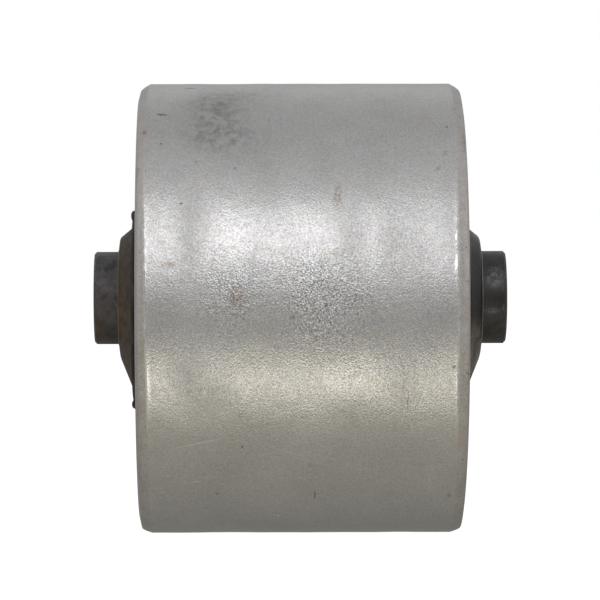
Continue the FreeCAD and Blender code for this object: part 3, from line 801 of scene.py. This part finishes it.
def make_roller():
    """The roller: tread, bevels, rim lands, forged webs and hub, around the same bore as the CAD node."""
    flat = [Vector((p.x, p.y, 0)) for p in outline("roller_shell", 1, 0.02)]
    rings = divided(flat, roller_step)
    roller = lathe("Roller_Tread_And_Webs", rings, SEGMENTS, roller_shape)
    for name, places in (("grime", GRIME), ("grit", GRIT), ("dull", DULL), ("shine", SHINE)):
        patches(roller, name, places)
    across = np.array([abs(ring.x) for ring in rings])
    away = np.array([ring.y for ring in rings])
    in_web = smooth_step(*reversed(WEB_RIM_EDGE), away) * smooth_step(*WEB_HUB_EDGE, away)
    rubbed = np.exp(-((across - BEVEL_STATION) / POLISH_WIDTH) ** 2) * (away > TREAD - 1 * MM)
    turns = np.linspace(0, 2 * math.pi, SEGMENTS, endpoint=False)
    height = np.sin(turns)
    front = np.cos(turns) > 0
    # the bevels' inner edges are polished, with a painted glint that shines within 25 degrees of the front's
    # middle, and faintly elsewhere
    bright = 0.12 + 0.88 * smooth_step(0.62, 0.42, np.abs(height)) * front
    write(roller.data, "polish_and_glint", np.outer(rubbed, bright).reshape(-1))
    # and the left one gets a painted glint, brightest from 10 to 26 degrees below it
    low_down = smooth_step(-0.12, -0.18, height) * smooth_step(-0.52, -0.44, height)
    on_left = rubbed * np.array([ring.x < 0 for ring in rings])
    write(roller.data, "left_low_glint", np.outer(on_left, low_down * front).reshape(-1))
    write_rings(roller, "forged", in_web * (across > 40 * MM))
    write_rings(roller, "turned", (1 - in_web) * (across > 50 * MM))
    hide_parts("roller_shell")
    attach(roller, "roller_body")
    roller.data.materials.append(tread_material())
    return roller


COLLAR_FOOT = 54.15 * MM


def make_collar(side, cone_rounding, material):
    """An oblique cone with rounded edges and a worn-down foot, around the same bore as the CAD node."""
    node = f"{side}_collar"

    def reach(corner):
        at_cone_top = abs(corner.x) > 58.0 * MM and corner.y > 18.5 * MM
        at_cone_foot = 26 * MM < corner.y < 26.6 * MM
        outside_bore = corner.y > 15.5 * MM
        if at_cone_top:
            return cone_rounding
        if at_cone_foot:
            return 2.4 * MM
        return 0.35 * MM if outside_bore else 0

    corners = rings_of(node, 0.1)
    for corner in corners:
        if corner.y > 26 * MM and COLLAR_FOOT < abs(corner.x) < 55 * MM:
            corner.x = math.copysign(COLLAR_FOOT, corner.x)
    rings = divided(eased(corners, reach), lambda point: 1.6 * MM)
    collar = lathe(f"{side.capitalize()}_Collar", rings, 192)
    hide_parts(node)
    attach(collar, "axle_body")
    collar.data.materials.append(material)
    return collar


BEAD_RADIUS = 31.45 * MM
COLLAR_RIM = 29.95 * MM
BEAD_FLATNESS = 0.75


def make_dust_ring(side, lumps, seed, material):
    """The rubber bead, swollen in places, which fills the slit between the collar and the roller's side."""
    node = f"{side}_dust_ring"
    corners = [Vector((p.x, p.y, 0)) for p in outline(node, 1, 0.02)]
    low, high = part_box(node)
    bead_y = (low.y + high.y) / 2

    def shape(y, radius, angle):
        swell = 0.12 + 0.16 * ripple(angle, y * 0, COLLAR_RIM, 9 * MM, 9 * MM, seed)
        for degrees, wide, strength in lumps:
            gap = (angle - math.radians(degrees) + math.pi) % (2 * math.pi) - math.pi
            swell = swell + strength * np.clip(1 - (gap * BEAD_RADIUS / (wide * MM)) ** 2, 0, 1) ** 0.8
        swell = swell / (1 + swell ** 4) ** 0.25
        outside = radius > COLLAR_RIM
        new_y = np.where(outside, bead_y + (y - bead_y) * BEAD_FLATNESS * np.sqrt(swell), y)
        new_radius = np.where(outside, COLLAR_RIM + (radius - COLLAR_RIM) * swell, radius)
        return new_y, new_radius

    ring = lathe(f"{side.capitalize()}_Dust_Ring", divided(corners, lambda point: 0.6 * MM), 420, shape)
    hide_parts(node)
    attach(ring, "axle_body")
    ring.data.materials.append(material)
    return ring


COLLARS = {
    # rounding of the cone's top, material
    "left": (0.9 * MM, left_collar_material),
    "right": (1.7 * MM, right_collar_material),
}
RING_LUMPS = {
    # degrees, half width in millimetres, strength
    "left": ((76, 3.8, 0.75), (-86, 3.0, 0.95), (-92, 2.4, 0.4), (150, 4.2, 0.4)),
    "right": ((160, 4.2, 0.4), (-130, 3.6, 0.3)),
}
RING_SEEDS = {"left": 5.0, "right": 9.0}

make_roller()
dust_rubber = rubber_material("Dust_Rubber", (0.080, 0.056, 0.045))
for side in SIDES:
    rounding, make_material = COLLARS[side]
    make_collar(side, rounding, make_material())
    make_dust_ring(side, RING_LUMPS[side], RING_SEEDS[side], dust_rubber)


# ---------------------------------------------------------------- the carried-over CAD nodes

def dress(material, *nodes):
    """Gives CAD nodes a material in place of their plain one."""
    for name in nodes:
        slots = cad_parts[name].data.materials
        slots.clear()
        slots.append(material)


def both(name):
    """The left node of that name and the right one."""
    return [f"{side}_{name}" for side in SIDES]


dress(axle_material(), "axle")
dress(
    turned_material("Plug_Black_Oxide", ((0.05, 0.05, 0.05), (0.09, 0.088, 0.085)), 0.4),
    "gallery_plug",
)
dress(
    turned_material("Bearing_Bronze", ((0.62, 0.40, 0.20), (0.70, 0.48, 0.26)), 0.3),
    *both("bush"),
    *both("thrust_washer"),
)
dress(
    turned_material("Seal_Iron", ((0.36, 0.35, 0.34), (0.45, 0.44, 0.43)), 0.24),
    *both("outer_seal_ring"),
    *both("inner_seal_ring"),
)
dress(
    rubber_material("Seal_Rubber", (0.02, 0.02, 0.02)),
    *both("outer_toric"),
    *both("inner_toric"),
    *both("collar_o_ring"),
)
dress(
    turned_material("Left_Snap_Ring_Wire", ((0.20, 0.15, 0.095), (0.34, 0.27, 0.18)), 0.45),
    "left_snap_ring",
)
dress(
    turned_material("Right_Snap_Ring_Wire", ((0.26, 0.265, 0.255), (0.40, 0.405, 0.39)), 0.36),
    "right_snap_ring",
)


# ---------------------------------------------------------------- floor, lights and camera

LIGHTS = (
    # name, azimuth (0 is +x), elevation, distance, width, height, watts, colour, degrees turned in its plane
    ("Key_Light", 0, 32.5, 1.0, 0.42, 0.60, 1.46, (1.0, 0.99, 1.03), 12),
    ("Low_Light", 0, -36, 1.0, 0.50, 0.26, 0.74, (1.0, 0.95, 0.84), 0),
    ("Back_Fill", 180, 40, 1.4, 0.8, 0.6, 0.3, (1.0, 0.99, 0.98), 0),
)


def soft_box(name, azimuth, elevation, distance, width, height, power, colour, tilt):
    """A rectangular light that faces the object."""
    data = bpy.data.lights.new(name, "AREA")
    data.shape = "RECTANGLE"
    data.size = width
    data.size_y = height
    data.energy = power
    data.color = colour
    lamp = bpy.data.objects.new(name, data)
    scene.collection.objects.link(lamp)
    a, e = math.radians(azimuth), math.radians(elevation)
    lamp.location = Vector((math.cos(a) * math.cos(e), math.sin(a) * math.cos(e), math.sin(e))) * distance
    lamp.rotation_mode = "QUATERNION"
    facing = lamp.location.to_track_quat("Z", "Y")
    lamp.rotation_quaternion = facing @ Matrix.Rotation(math.radians(tilt), 3, "Z").to_quaternion()
    lamp.visible_camera = False


def make_floor():
    """A pale floor under the roller that lights the object only as the world does."""
    half = 12.0
    mesh = bpy.data.meshes.new("Floor")
    corners = [(-half, -half), (half, -half), (half, half), (-half, half)]
    mesh.from_pydata([(x, y, cad_low.z) for x, y in corners], [], [(0, 1, 2, 3)])
    floor = bpy.data.objects.new("Floor", mesh)
    scene.collection.objects.link(floor)
    floor.visible_diffuse = False
    floor.visible_glossy = False
    floor.visible_shadow = False
    pale = bpy.data.materials.new("Pale_Floor")
    pale.use_nodes = True
    shader = pale.node_tree.nodes["Principled BSDF"]
    shader.inputs["Base Color"].default_value = (0.22, 0.22, 0.22, 1)
    shader.inputs["Roughness"].default_value = 1.0
    shader.inputs["Specular IOR Level"].default_value = 0.0
    shader.inputs["Emission Color"].default_value = (1, 1, 1, 1)
    shader.inputs["Emission Strength"].default_value = 0.97
    mesh.materials.append(pale)


STUDIO = (
    # degrees up from the camera's side, over the top to 180 and under the object to -180; red, green, blue
    (-180, 0.29, 0.288, 0.278),
    (-152, 0.225, 0.222, 0.212),
    (-130, 0.30, 0.292, 0.270),
    (-104, 0.35, 0.338, 0.305),
    (-90, 0.39, 0.376, 0.336),
    (-66, 0.41, 0.396, 0.350),
    (-35, 0.43, 0.418, 0.385),
    (0, 0.35, 0.348, 0.347),
    (37, 0.485, 0.486, 0.495),
    (70, 0.610, 0.612, 0.624),
    (100, 0.515, 0.518, 0.528),
    (130, 0.475, 0.478, 0.486),
    (160, 0.455, 0.458, 0.464),
    (180, 0.38, 0.380, 0.382),
)
END_BOOST = 0.35    # how much brighter the studio is beyond the axle's ends


def make_world():
    """White behind the object; its own light comes from a soft studio, dimmer and warmer low down."""
    world = bpy.data.worlds.new("Studio")
    world.use_nodes = True
    tree = world.node_tree
    add = partial(add_node, tree)
    direction = add("ShaderNodeTexCoord").outputs["Generated"]
    x, y, z = add("ShaderNodeSeparateXYZ", {0: direction}).outputs
    turn = add("ShaderNodeMath", {0: z, 1: x}, operation="ARCTAN2").outputs[0]
    share = add("ShaderNodeMath", {0: turn, 1: 0.5 / math.pi, 2: 0.5}, operation="MULTIPLY_ADD").outputs[0]
    ramp = add("ShaderNodeValToRGB", {0: share})
    stops = ramp.color_ramp.elements
    while len(stops) < len(STUDIO):
        stops.new(0.5)
    for stop, (degrees, *colour) in zip(stops, STUDIO):
        stop.position = degrees / 360 + 0.5
        stop.color = (*colour, 1)
    sideways = add("ShaderNodeMath", {0: y, 1: y}, operation="MULTIPLY").outputs[0]
    boost = add("ShaderNodeMath", {0: sideways, 1: END_BOOST, 2: 1.0}, operation="MULTIPLY_ADD").outputs[0]
    studio = add("ShaderNodeVectorMath", {0: ramp.outputs[0], 3: boost}, operation="SCALE").outputs[0]
    path = add("ShaderNodeLightPath")
    mix = add(
        "ShaderNodeMix",
        {0: path.outputs["Is Camera Ray"], 6: studio, 7: (1, 1, 1, 1)},
        data_type="RGBA",
    )
    tree.links.new(mix.outputs[2], tree.nodes["Background"].inputs["Color"])
    scene.world = world


def make_camera():
    """The photograph's view: nearly level with the axle, far off, in front of the tread."""
    distance = 1.38
    yaw = math.radians(-0.64)
    data = bpy.data.cameras.new("Camera")
    data.sensor_width = 36.0
    data.lens = 254.61
    camera = bpy.data.objects.new("Camera", data)
    scene.collection.objects.link(camera)
    camera.location = (distance * math.cos(yaw), distance * math.sin(yaw), 0)
    aim = Vector((0, 0, 0.0026))
    camera.rotation_mode = "QUATERNION"
    look = (aim - camera.location).to_track_quat("-Z", "Y")
    roll = Matrix.Rotation(math.radians(-0.15), 3, "Z").to_quaternion()
    camera.rotation_quaternion = look @ roll
    scene.camera = camera


make_floor()
make_world()
for light in LIGHTS:
    soft_box(*light)
make_camera()
